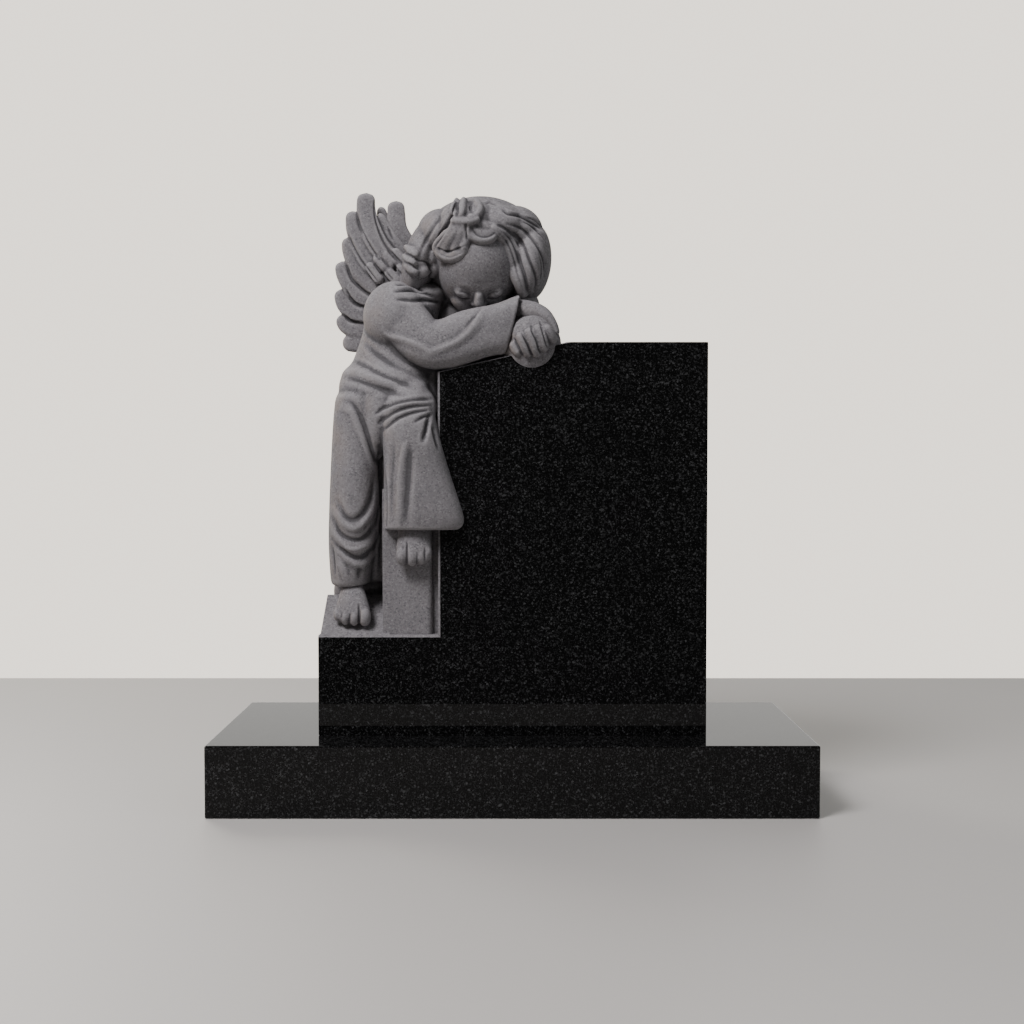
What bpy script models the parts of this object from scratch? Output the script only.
"""An angel headstone: a polished granite tablet on a wide base slab, with a child angel carved from the
tablet's own block. The angel stands on a step at the tablet's left end and rests its head and crossed
arms on the tablet's low shoulder.

Metres, +Z up, the polished face looks along -Y, and the origin is the middle of the base's underside.
"""

import math

import bmesh
import bpy
import numpy as np
from mathutils import Matrix, Vector

# Base slab
BASE_WIDTH = 0.914
BASE_DEPTH = 0.356
BASE_THICKNESS = 0.109
BASE_ARRIS = 0.002

# Tablet
TABLET_WIDTH = 0.5965
TABLET_HEIGHT = 0.603
TABLET_THICKNESS = 0.203
FACE_SETBACK = 0.076  # from the base's front to the tablet's polished face
TABLET_ARRIS = 0.0015
BED_JOINT = 0.0003  # between the base and the tablet

# The notch that the angel stands in
STEP_WIDTH = 0.1844
STEP_HEIGHT = 0.1547
NOTCH_CHAMFER = 0.0034
SHOULDER_RUN = 0.196  # from the notch to where the sloping shoulder meets the top

# Ground under the standing foot: it rises from the step's front edge, then falls a little to the back
GROUND_RISE = 0.054
GROUND_RUN = 0.084
GROUND_BACK = 0.038  # its height over the step at the tablet's back
GROUND_INSET = 0.003  # from the tablet's left side

# The block behind the raised foot
BLOCK_SETBACK = 0.008
BLOCK_WIDTH = 0.0774
BLOCK_HEIGHT = 0.2246
BLOCK_GROOVE = 0.0084  # between the block and the notch's wall
BLOCK_GROOVE_DEPTH = 0.012
OVERLAP = 0.012  # how far stones that are carved as one run into each other

# The angel, drawn on a grid of squares as the eye sees it from in front of the polished face
FIGURE_HEIGHT = 0.6776  # from the step to the wing's tip
SQUARES_HIGH = 442
SQUARE = FIGURE_HEIGHT / SQUARES_HIGH
CORNER = (120.5, 92.3)  # the notch's inner corner, in squares from the tablet's left side and foot
EYE = (194.5, 265.2)
EYE_DISTANCE = 1302.8
SIGHT = (194.2, 215.0)  # where the line of sight meets the drawing, which is square to it
SIGHT_LENGTH = 1307.0
SIGHT_FALL = math.radians(2.177)
SHOULDER_SQUARES = 263.0  # from the step up to the tablet's shoulder, under the angel's sleeve

CLAY_VOXEL = 0.0035
CLAY_SMOOTHING = 5
FIGURE_TRIANGLES = 8600

FACE_Y = -BASE_DEPTH / 2 + FACE_SETBACK
BACK_Y = FACE_Y + TABLET_THICKNESS
BASE_TOP = BASE_THICKNESS
TABLET_FOOT = BASE_TOP + BED_JOINT
TABLET_LEFT = -TABLET_WIDTH / 2
NOTCH_X = TABLET_LEFT + STEP_WIDTH
STEP_Z = TABLET_FOOT + STEP_HEIGHT
SHOULDER_Z = STEP_Z + SHOULDER_SQUARES * SQUARE


# Scene


def clear_scene():
    for old in list(bpy.data.objects):
        bpy.data.objects.remove(old)


def collection(name):
    made = bpy.data.collections.new(name)
    bpy.context.scene.collection.children.link(made)
    return made


def granite(name, colour, roughness):
    made = bpy.data.materials.new(name)
    made.use_nodes = True
    shader = made.node_tree.nodes["Principled BSDF"]
    shader.inputs["Base Color"].default_value = (*colour, 1)
    shader.inputs["Roughness"].default_value = roughness
    shader.inputs["Metallic"].default_value = 0.0
    return made


def as_object(bm, name, group, material=None):
    bmesh.ops.recalc_face_normals(bm, faces=bm.faces)
    mesh = bpy.data.meshes.new(name)
    bm.to_mesh(mesh)
    bm.free()
    made = bpy.data.objects.new(name, mesh)
    if material:
        mesh.materials.append(material)
    group.objects.link(made)
    return made


def make_helper(obj):
    obj.hide_render = True
    obj.display_type = "WIRE"
    return obj


def unite(target, helper):
    join = target.modifiers.new("join " + helper.name, "BOOLEAN")
    join.operation = "UNION"
    join.solver = "EXACT"
    join.object = make_helper(helper)


# Slabs


def extruded(outline, back, name, group, material=None, front=FACE_Y):
    """A flat outline of (x, z) points in the plane y = front, extruded to y = back."""
    bm = bmesh.new()
    face = bm.faces.new([bm.verts.new((x, front, z)) for x, z in outline])
    deep = bmesh.ops.extrude_face_region(bm, geom=[face])
    moved = [v for v in deep["geom"] if isinstance(v, bmesh.types.BMVert)]
    bmesh.ops.translate(bm, verts=moved, vec=(0, back - front, 0))
    return as_object(bm, name, group, material)


def bevel_edges(obj, width, chosen):
    """Bevels the edges whose two ends both pass chosen(point)."""
    bm = bmesh.new()
    bm.from_mesh(obj.data)
    edges = [e for e in bm.edges if all(chosen(v.co) for v in e.verts)]
    bmesh.ops.bevel(bm, geom=edges, offset=width, segments=1, profile=0.5, affect="EDGES", material=-1)
    bm.to_mesh(obj.data)
    bm.free()


def make_base(group, material):
    half = BASE_WIDTH / 2
    outline = [(-half, 0), (half, 0), (half, BASE_TOP), (-half, BASE_TOP)]
    base = extruded(outline, BASE_DEPTH / 2, "base", group, material, front=-BASE_DEPTH / 2)
    arris = base.modifiers.new("arris", "BEVEL")
    arris.width = BASE_ARRIS
    arris.segments = 1
    return base


def make_tablet(group, material):
    right = TABLET_WIDTH / 2
    top = TABLET_FOOT + TABLET_HEIGHT
    outline = [
        (TABLET_LEFT, TABLET_FOOT),
        (right, TABLET_FOOT),
        (right, top),
        (NOTCH_X + SHOULDER_RUN, top),
        (NOTCH_X, SHOULDER_Z),
        (NOTCH_X, STEP_Z),
        (TABLET_LEFT, STEP_Z),
    ]
    tablet = extruded(outline, BACK_Y, "headstone", group, material)
    near = 1e-6

    def on_notch(p):
        return p.y < FACE_Y + near and p.x < NOTCH_X + near and STEP_Z - near < p.z < SHOULDER_Z + near

    bevel_edges(tablet, NOTCH_CHAMFER, on_notch)
    bevel_edges(
        tablet,
        TABLET_ARRIS,
        lambda p: (p.x > right - near or p.z > top - near) and p.z > TABLET_FOOT + near,
    )
    return tablet


def make_ground(group):
    """The sloping ground under the standing foot, from the step's front edge back to the tablet's back."""
    left = TABLET_LEFT + GROUND_INSET
    bm = bmesh.new()
    foot = STEP_Z - OVERLAP
    lip = FACE_Y + NOTCH_CHAMFER
    side = [
        (lip, foot),
        (lip, STEP_Z),
        (FACE_Y + GROUND_RUN, STEP_Z + GROUND_RISE),
        (BACK_Y, STEP_Z + GROUND_BACK),
        (BACK_Y, foot),
    ]
    face = bm.faces.new([bm.verts.new((left, y, z)) for y, z in side])
    deep = bmesh.ops.extrude_face_region(bm, geom=[face])
    moved = [v for v in deep["geom"] if isinstance(v, bmesh.types.BMVert)]
    right = NOTCH_X - BLOCK_GROOVE - BLOCK_WIDTH + OVERLAP
    bmesh.ops.translate(bm, verts=moved, vec=(right - left, 0, 0))
    return as_object(bm, "ground", group)


def make_block(group):
    """The squared stone left standing behind the raised foot, with a groove along the notch's wall."""
    right = NOTCH_X - BLOCK_GROOVE
    left = right - BLOCK_WIDTH
    wall = NOTCH_X + OVERLAP
    groove_y = FACE_Y + BLOCK_SETBACK + BLOCK_GROOVE_DEPTH
    foot = STEP_Z - OVERLAP
    plan = [
        (left, FACE_Y + BLOCK_SETBACK),
        (right, FACE_Y + BLOCK_SETBACK),
        (right, groove_y),
        (wall, groove_y),
        (wall, BACK_Y - OVERLAP),
        (left, BACK_Y - OVERLAP),
    ]
    bm = bmesh.new()
    face = bm.faces.new([bm.verts.new((x, y, foot)) for x, y in plan])
    deep = bmesh.ops.extrude_face_region(bm, geom=[face])
    moved = [v for v in deep["geom"] if isinstance(v, bmesh.types.BMVert)]
    bmesh.ops.translate(bm, verts=moved, vec=(0, 0, OVERLAP + BLOCK_HEIGHT))
    return as_object(bm, "block", group)


# The drawing grid


def seen(x, z, depth):
    """The point this many squares behind the polished face that the eye sees at (x, z) of the drawing."""
    fall, level = math.sin(SIGHT_FALL), math.cos(SIGHT_FALL)
    rise = z - SIGHT[1]
    reach = (EYE_DISTANCE + depth) / (SIGHT_LENGTH * level + rise * fall)
    across = EYE[0] + (x - SIGHT[0]) * reach - CORNER[0]
    up = EYE[1] + (rise * level - SIGHT_LENGTH * fall) * reach - CORNER[1]
    return Vector((NOTCH_X + across * SQUARE, FACE_Y + depth * SQUARE, STEP_Z + up * SQUARE))


def drawn(points):
    """seen() the other way: the (x, z) on the drawing of each of an array of points."""
    fall, level = math.sin(SIGHT_FALL), math.cos(SIGHT_FALL)
    across = (points[:, 0] - NOTCH_X) / SQUARE + CORNER[0] - EYE[0]
    away = (points[:, 1] - FACE_Y) / SQUARE + EYE_DISTANCE
    up = (points[:, 2] - STEP_Z) / SQUARE + CORNER[1] - EYE[1]
    forward = away * level - up * fall
    x = SIGHT[0] + SIGHT_LENGTH * across / forward
    z = SIGHT[1] + SIGHT_LENGTH * (away * fall + up * level) / forward
    return np.stack([x, z], axis=1)


def smooth_line(points, count):
    """count points along a Catmull-Rom curve through the given ones."""
    given = np.asarray(points, float)
    padded = np.vstack([2 * given[0] - given[1], given, 2 * given[-1] - given[-2]])
    places = np.linspace(0, len(given) - 1, count)
    span = np.minimum(places.astype(int), len(given) - 2)
    t = (places - span)[:, None]
    a, b, c, d = (padded[span + i] for i in range(4))
    return 0.5 * (2 * b + (c - a) * t + (2 * a - 5 * b + 4 * c - d) * t**2 + (3 * b - a - 3 * c + d) * t**3)


# Clay forms


def ball(clay, at, radii, nod=0, lean=0):
    """An ellipsoid. radii are across, up and deep; nod tips its top towards the eye, lean to the right."""
    turn = Matrix.Rotation(math.radians(lean), 4, "Y") @ Matrix.Rotation(math.radians(nod), 4, "X")
    size = Matrix.Diagonal((radii[0] * SQUARE, radii[2] * SQUARE, radii[1] * SQUARE, 1))
    place = Matrix.Translation(seen(*at)) @ turn @ size
    bmesh.ops.create_uvsphere(clay, u_segments=24, v_segments=14, radius=1, matrix=place)


def limb(clay, sections, rounding=(None, None), level=False, power=2, around=16, along=18):
    """A tapering limb through sections of (x, z, depth, half width, half thickness, slant).

    A ring with a slant, which may be left out, leans forward along the limb at its upper side. The limb
    starts as a sphere, whose rings of vertices are moved onto the sections. rounding is how far each end's
    rounding runs, None for as far as the end is wide. level keeps the rings level, as a hem is.
    """
    line = smooth_line(sections, along - 1)
    centres = np.array([seen(*p[:3]) for p in line])
    run = np.concatenate([[0], np.cumsum(np.linalg.norm(np.diff(centres, axis=0), axis=1))]) / SQUARE
    drawn_in = np.ones_like(run)
    for to_end, given, end_width in zip((run, run[-1] - run), rounding, (line[0, 3], line[-1, 3])):
        reach = end_width if given is None else given
        if reach:
            drawn_in *= np.sqrt(1 - (1 - np.clip(to_end / reach, 0, 1)) ** 2)
    tangents = np.gradient(centres, axis=0)
    made = bmesh.ops.create_uvsphere(clay, u_segments=around, v_segments=along, radius=1)["verts"]
    for v in made:
        ring = round((math.asin(max(-1, min(1, v.co.z))) / math.pi + 0.5) * along) - 1
        if ring < 0 or ring >= along - 1:
            end = 0 if ring < 0 else along - 2
            v.co = Vector(centres[end])
            continue
        wide, thick = Vector((1, 0, 0)), Vector((0, 1, 0))
        lean = Vector((0, 0, 0))
        if not level:
            onward = Vector(tangents[ring]).normalized()
            thick = (thick - onward * onward.y).normalized()
            wide = onward.cross(thick)
            lean = onward * (line[ring, 5] if line.shape[1] > 5 else 0)
        angle = math.atan2(v.co.y, v.co.x)
        c, s = math.cos(angle), math.sin(angle)
        full = (abs(c) ** power + abs(s) ** power) ** (-1 / power) * drawn_in[ring] * SQUARE
        across, deep = c * full * line[ring, 3], s * full * line[ring, 4]
        v.co = Vector(centres[ring]) + (wide + lean) * across + thick * deep


def edges_to_sections(rows, depth_rows):
    """Rows of (z, left, right) and of (middle depth, half thickness) as sections for limb()."""
    return [((a + b) / 2, z, d, (b - a) / 2, t) for (z, a, b), (d, t) in zip(rows, depth_rows)]


# The angel's forms, in squares: x from the tablet's left side, z above its foot, depth behind its face


def model_feet(clay):
    foot = [
        (36, 156, 38, 10, 12), (35, 140, 29, 11, 12), (35, 127, 20, 15, 12),
        (35, 114, 13, 18, 10), (35, 103, 10, 17, 8),
    ]
    limb(clay, foot, rounding=(None, 8), power=2.2)
    for at, radii in (
        ((47, 110, 8.5), (6.4, 9.5, 8)), ((36.5, 109.5, 8), (5.4, 8.5, 7.5)),
        ((27.5, 110, 9.5), (5, 8, 7.5)), ((20, 113, 12.5), (4.4, 7.5, 7)),
    ):
        ball(clay, at, radii)
    foot = [
        (96, 210, 14, 15, 14), (96, 192, 4, 16, 12), (96, 180, -1, 17.5, 10),
        (96, 170, -3, 17.5, 9), (96, 162, -3, 16, 7),
    ]
    limb(clay, foot, rounding=(None, 8), power=2.2)
    for at, radii in (
        ((84, 171.5, -4.5), (6, 10, 8)), ((94.2, 170.5, -5.5), (5.6, 10, 7.5)),
        ((103.4, 171.5, -4.5), (5.2, 9.5, 7.5)), ((109.6, 174.5, -3), (4.5, 7.5, 6.5)),
    ):
        ball(clay, at, radii)


def model_robe(clay):
    standing = [
        (143, 15, 50), (150, 13, 55), (182, 11, 61), (217, 11.5, 64),
        (257, 13, 66), (297, 15, 70), (322, 17, 78), (345, 20, 92),
    ]
    depths = [(43, 33), (43, 36), (41, 39), (40, 40), (39, 41), (39, 42), (39, 43), (40, 43)]
    sections = edges_to_sections(standing, depths)
    limb(clay, sections, rounding=(0, 20), level=True, power=2.4, around=28, along=30)
    behind = [(84, 19, 72), (120, 19, 72), (144, 19, 72), (156, 26, 72), (220, 42, 74), (300, 42, 76)]
    depths = [(84, 18), (84, 18), (82, 18), (66, 24), (58, 26), (56, 28)]
    sections = edges_to_sections(behind, depths)
    limb(clay, sections, rounding=(0, None), level=True, power=3, around=20, along=26)
    raised = [
        (362, 70, 114), (340, 67, 113), (316, 65, 117), (290, 65.5, 122), (262, 66, 130),
        (237, 66, 138), (217, 66, 144.5), (205, 66, 146.5), (197, 66, 142),
    ]
    depths = [(44, 34), (29, 34), (13, 33), (4, 28), (4, 26), (3, 24), (2, 22), (2, 20), (2, 18)]
    sections = edges_to_sections(raised, depths)
    limb(clay, sections, rounding=(30, 0), level=True, power=2.8, around=28, along=30)
    limb(clay, [(98, 338, 24, 24, 24), (95, 314, 9, 24, 24), (93, 297, 0, 23, 25)])
    ball(clay, (70, 338, 36), (50, 36, 43))
    limb(clay, [(66, 352, 22, 32, 24), (63, 322, 14, 25, 22), (60, 296, 17, 15, 22), (59, 268, 26, 5, 16)])
    back = [(113, 215, 44, 13, 26), (113, 300, 44, 13, 28), (114, 366, 42, 13, 26)]
    limb(clay, back, rounding=(6, 6), level=True)


def model_body(clay):
    blouse = [
        (335, 24, 117), (345, 22.5, 118), (356, 24.5, 118), (364, 31, 117), (376, 39, 117),
        (392, 44, 118), (410, 47, 122), (426, 54, 127), (438, 68, 131), (446, 84, 128),
    ]
    depths = [
        (40, 43), (41, 45), (42, 44), (43, 40), (44, 38), (45, 38), (45, 37), (44, 34), (44, 28), (44, 20),
    ]
    sections = edges_to_sections(blouse, depths)
    limb(clay, sections, rounding=(10, None), level=True, power=2.3, around=28, along=30)
    limb(clay, [(100, 425, 50, 26, 28), (130, 436, 66, 25, 28), (155, 448, 62, 28, 30)])
    ball(clay, (78, 410, 24), (33, 36, 31))
    ball(clay, (132, 412, 62), (26, 16, 22))
    arm = [
        (62, 424, 27, 16, 18, 0), (75, 419, 23, 25, 24, 0), (92, 399, 15, 25, 23, 0),
        (108, 384, 9, 24, 21, 0), (128, 383, 8, 25, 21, 0), (152, 391, 8, 26, 21, 0),
        (177, 397, 9, 25, 20, 0.3), (193.5, 401.5, 12, 27.5, 18, 0.6),
    ]
    limb(clay, arm, rounding=(None, 0), power=2.4, around=22, along=28)
    far_arm = [
        (140, 418, 70, 16, 16), (180, 412, 50, 18, 18), (205, 414, 26, 12.5, 14), (217, 415.5, 14, 9.5, 10),
        (228, 410.5, 8, 8, 8), (236, 400, 5, 6, 7), (240.5, 390, 4, 4, 5),
    ]
    limb(clay, far_arm)
    under = [(116, 362, 40, 13, 28), (150, 370, 40, 12, 28), (190, 380, 40, 12, 26), (212, 384, 38, 12, 24)]
    limb(clay, under)
    ball(clay, (207, 422, 38), (15, 15, 18))


def model_hand(clay):
    ball(clay, (214, 382, 8), (29.5, 29.5, 13))
    ball(clay, (214.5, 391, 1), (21.5, 20.5, 14))
    fingers = (
        ((201, 392), (206, 380), (212, 368.5)), ((210, 394), (215, 381), (219.5, 369)),
        ((218.5, 397), (223, 386), (227, 375)), ((226.5, 398), (231, 391), (235, 383)),
        ((193.5, 386), (197, 379), (203, 372)),
    )
    for finger in fingers:
        limb(clay, [(x, z, -6 + 2 * i, 5.8, 6.5) for i, (x, z) in enumerate(finger)], around=10, along=9)


def model_head(clay):
    ball(clay, (161, 458, 30), (42, 50, 40), nod=43)
    ball(clay, (161, 439, 40.4), (33, 27, 30), nod=43)
    ball(clay, (163, 476, 50), (65, 55, 54))
    ball(clay, (212, 465, 34), (22, 40, 38), lean=5)
    ball(clay, (196, 494, 34), (30, 27, 36))
    ball(clay, (104, 468, 40), (18, 42, 36), lean=16)
    ball(clay, (180, 500, 20), (30, 22, 32))
    ball(clay, (124, 493, 32), (25, 25, 34), lean=25)
    ball(clay, (150, 502, 10), (30, 25, 28))
    ball(clay, (102, 458, 24), (14, 13, 16))
    ball(clay, (153, 517, -9), (11, 10, 9))
    left_lock = [
        (132, 492, -16, 9, 8), (121, 480, -9, 8, 8), (124, 472, -10, 6, 7),
        (138, 471, -16, 6, 6), (149, 476, -19, 5, 5),
    ]
    limb(clay, left_lock)
    limb(clay, [(153, 500, -21, 7, 7), (162, 492, -21, 8, 7), (174, 491, -17, 7, 6)])
    limb(clay, [(161, 436, 2, 5, 6), (161, 428, 6, 5, 6.5), (161, 421, 10, 5.6, 6.5)])


NEAR_WING = (
    ((48.5, 534.5, 62, 8.5), (48.5, 515, 62, 9.5), (54.5, 494, 62, 10), (65, 476, 62, 10), (82, 460, 64, 9)),
    ((34.5, 516.5, 66, 6.5), (36.5, 497, 66, 8), (45, 476, 66, 9), (57, 460, 66, 9.5), (78, 444, 68, 9)),
    ((30, 490, 69, 6.5), (33, 474, 69, 8), (42, 456, 69, 9), (57, 441, 70, 9.5), (76, 430, 72, 9)),
    ((24, 466, 72, 7.5), (27.5, 451, 72, 8.5), (38, 436, 72, 9.5), (54, 426.5, 73, 9.5), (76, 420, 75, 9)),
    ((22, 438, 75, 6.5), (27, 423, 75, 8.5), (38, 414, 75, 9), (54, 411, 76, 9), (76, 410, 78, 9)),
    ((22, 412, 78, 6), (28.5, 401.5, 78, 8), (40, 397, 78, 8.5), (60, 396, 79, 8.5)),
    ((24.5, 384, 80, 6.5), (34, 382, 80, 7.5), (46, 381, 80, 8), (62, 384, 80, 8)),
    ((61.5, 514, 67, 3.5), (66, 502, 68, 6), (72, 488, 68, 8), (86, 468, 70, 9)),
)
FAR_WING = (
    (
        (78, 526.5, 70, 8), (78.5, 512, 70, 9), (79.5, 498, 70, 10),
        (85, 482, 72, 13), (95, 466, 77, 14), (112, 446, 88, 12),
    ),
    ((62.5, 520.5, 78, 4.5), (65, 510, 78, 5.5), (68, 500, 78, 7), (78, 484, 80, 8)),
    ((112, 505, 96, 7), (112, 488, 96, 9), (118, 462, 96, 9), (128, 438, 92, 8)),
    ((129, 512, 100, 7), (127, 492, 100, 9), (129, 464, 100, 10), (134, 438, 96, 8)),
    ((147, 514, 103, 7), (144, 494, 103, 9), (142, 466, 103, 10), (140, 438, 98, 8)),
    ((166, 507, 106, 7), (161, 488, 106, 9), (154, 462, 105, 10), (146, 436, 100, 8)),
    ((182, 492, 108, 7), (176, 476, 108, 9), (165, 454, 107, 10), (150, 432, 100, 8)),
    ((190, 470, 110, 7), (184, 458, 110, 9), (172, 442, 108, 10), (152, 428, 100, 8)),
)
COVERTS = (
    ((57, 472), (69, 456)), ((65, 476), (78, 460)), ((75, 478), (88, 463)),
    ((49, 464), (64, 444)), ((68, 458), (82, 443)), ((80, 463), (92, 448)),
)
FEATHER_THICKNESS = 4


def model_wings(clay):
    for feather in NEAR_WING + FAR_WING:
        limb(clay, [(*p, FEATHER_THICKNESS) for p in feather], rounding=(7, None), around=14, along=16)
    for start, end in COVERTS:
        limb(clay, [(*start, 58.5, 5.6, 3.5), (*end, 60, 6, 4)], around=10, along=8)
    limb(clay, [(72, 470, 66, 12, 5), (88, 456, 68, 14, 6)])
    limb(clay, [(50, 426, 76, 8, 4), (62, 440, 74, 16, 5), (78, 452, 72, 16, 6)])
    limb(clay, [(74, 400, 70, 14, 12), (84, 430, 70, 14, 14), (92, 452, 68, 12, 12), (92, 466, 66, 10, 9)])
    limb(clay, [(110, 400, 74, 14, 12), (126, 428, 84, 14, 14), (136, 450, 94, 12, 11)])


# Carving strokes on the drawing: width and depth in squares, a negative depth raises a ridge

STROKES = (
    # the thigh's edge and the swag under the knee
    (
        ((27, 325), (36, 321), (49, 292), (57, 268), (61, 235), (57, 215), (43, 199), (29, 203), (18, 214)),
        5,
        4,
    ),
    (((61, 250), (58, 228), (50, 210), (41, 198), (29, 201), (17, 215)), 3.5, -2.5),
    (((63, 209), (55, 193), (41, 181.5), (28, 184), (17, 195), (12, 207)), 4, -3),
    (((62, 200), (54, 184), (41, 174), (27, 177), (14, 190)), 4, 3),
    (((58, 188), (48, 168), (41, 163), (31, 170), (21, 180)), 4, 3),
    (((22, 164), (29, 146)), 4, -3),
    (((14, 182), (17, 150)), 3, 2),
    # between the legs
    (((61, 280), (65, 240), (65, 200), (62, 150)), 6, 9),
    # gathers at the waist, spreading from the notch
    (((61, 314), (75, 321), (93, 325), (112, 326)), 3.5, 3.5),
    (((63, 304), (77, 314), (93, 320), (113, 321)), 3.5, 3.5),
    (((67, 299), (81, 309), (97, 315), (113, 317)), 3, 3),
    (((110, 308), (106, 286)), 4, 5),
    (((115, 300), (120, 279)), 3, 4),
    # the raised robe's crease
    (((87, 282), (83, 258), (80, 201)), 4, -3.5),
    (((93, 278), (89, 239), (85, 201)), 5, 3.5),
    # folds over the shoulder
    (((78, 443), (90, 443.5), (106, 438)), 3, 3.5),
    (((77, 436), (91, 437.5), (104, 435.5), (118, 429)), 3.5, 4),
    (((78, 428), (94, 427), (110, 426.5), (124, 424)), 3.5, 3),
    # the sleeve's ridge from the shoulder to the elbow, and up to the cheek
    (((70, 391), (90, 386), (114, 376)), 5, -3),
    (((114, 376), (127, 380), (145, 389), (160, 404), (164, 419)), 5, -3.5),
    # hair combed over the right side
    (((183, 519), (200, 512), (213, 507), (227, 497)), 3.5, 3),
    (((203, 507), (214, 501), (223, 494), (231, 478)), 3.5, 3),
    (((196, 500), (213, 490), (223, 476), (228, 455), (224, 440)), 3.5, 3),
    (((192, 497), (204, 484), (212, 466), (219, 448), (215, 432)), 3.5, 3),
    # hair drawn back on the left
    (((138, 522), (128, 500), (116, 477)), 3.5, 4),
    # grooves between the near wing's feathers
    (((39, 512), (42, 500), (50, 484), (57, 473), (63, 466)), 3, 3),
    (((31, 490), (34, 483), (41, 470), (50, 457), (62, 443)), 3, 3),
    (((29, 460), (33, 449), (40, 441), (50, 433), (59, 429.5)), 3, 3),
    (((28, 437), (33, 428), (40, 422), (52, 419)), 3, 3),
    (((26, 411), (33, 406), (46, 404)), 3, 3),
)


def carve(mesh, path, width, depth):
    """Moves the front-facing surface under a stroke inwards, or outwards where depth is negative."""
    count = len(mesh.vertices)
    co = np.empty(count * 3)
    mesh.vertices.foreach_get("co", co)
    co = co.reshape(-1, 3)
    normals = np.empty(count * 3)
    mesh.vertex_normals.foreach_get("vector", normals)
    normals = normals.reshape(-1, 3)
    flat = drawn(co)
    length = np.linalg.norm(np.diff(np.asarray(path, float), axis=0), axis=1).sum()
    line = smooth_line(path, round(length) + 2)
    low, high = line.min(0) - width, line.max(0) + width
    close = np.flatnonzero(((flat > low) & (flat < high)).all(1) & (normals[:, 1] < 0))
    gaps = np.linalg.norm(flat[close][:, None, :] - line[None, :, :], axis=2)
    nearest = gaps.argmin(1)
    share = nearest / (len(line) - 1)
    taper = np.sqrt(np.sin(math.pi * np.clip(share, 0.04, 0.96)))
    falloff = np.cos(np.clip(gaps.min(1) / width, 0, 1) * math.pi / 2) ** 2
    facing = np.clip(-1.6 * normals[close, 1], 0, 1)
    co[close] -= normals[close] * (falloff * facing * taper * depth * SQUARE)[:, None]
    mesh.vertices.foreach_set("co", co.ravel())
    mesh.update()


def smooth(mesh, times):
    bm = bmesh.new()
    bm.from_mesh(mesh)
    for _ in range(times):
        bmesh.ops.smooth_vert(
            bm, verts=bm.verts, factor=0.5, use_axis_x=True, use_axis_y=True, use_axis_z=True
        )
    bm.to_mesh(mesh)
    bm.free()


def make_figure(group):
    """The angel as one closed skin: its forms fused, smoothed and carved, with fewer triangles at the end."""
    clay = bmesh.new()
    for model in (model_feet, model_robe, model_body, model_hand, model_head, model_wings):
        model(clay)
    rough = as_object(clay, "angel_clay", group)
    fuse = rough.modifiers.new("fuse", "REMESH")
    fuse.mode = "VOXEL"
    fuse.voxel_size = CLAY_VOXEL
    graph = bpy.context.evaluated_depsgraph_get()
    skin = bpy.data.meshes.new_from_object(rough.evaluated_get(graph))
    bpy.data.objects.remove(rough)
    smooth(skin, CLAY_SMOOTHING)
    for path, width, depth in STROKES:
        carve(skin, path, width, depth)
    smooth(skin, 1)
    skin.calc_loop_triangles()
    figure = bpy.data.objects.new("angel", skin)
    group.objects.link(figure)
    fewer = figure.modifiers.new("fewer", "DECIMATE")
    fewer.ratio = min(1, FIGURE_TRIANGLES / len(skin.loop_triangles))
    return figure


def main():
    clear_scene()
    parts = collection("Angel headstone")
    helpers = collection("Shapes carved as one with the tablet")
    black = granite("polished black granite", (0.012, 0.012, 0.013), 0.08)
    grey = granite("carved grey granite", (0.17, 0.165, 0.17), 0.75)
    make_base(parts, black)
    tablet = make_tablet(parts, black)
    tablet.data.materials.append(grey)
    for helper in (make_ground(helpers), make_block(helpers), make_figure(helpers)):
        helper.data.materials.clear()
        helper.data.materials.append(grey)
        unite(tablet, helper)


main()
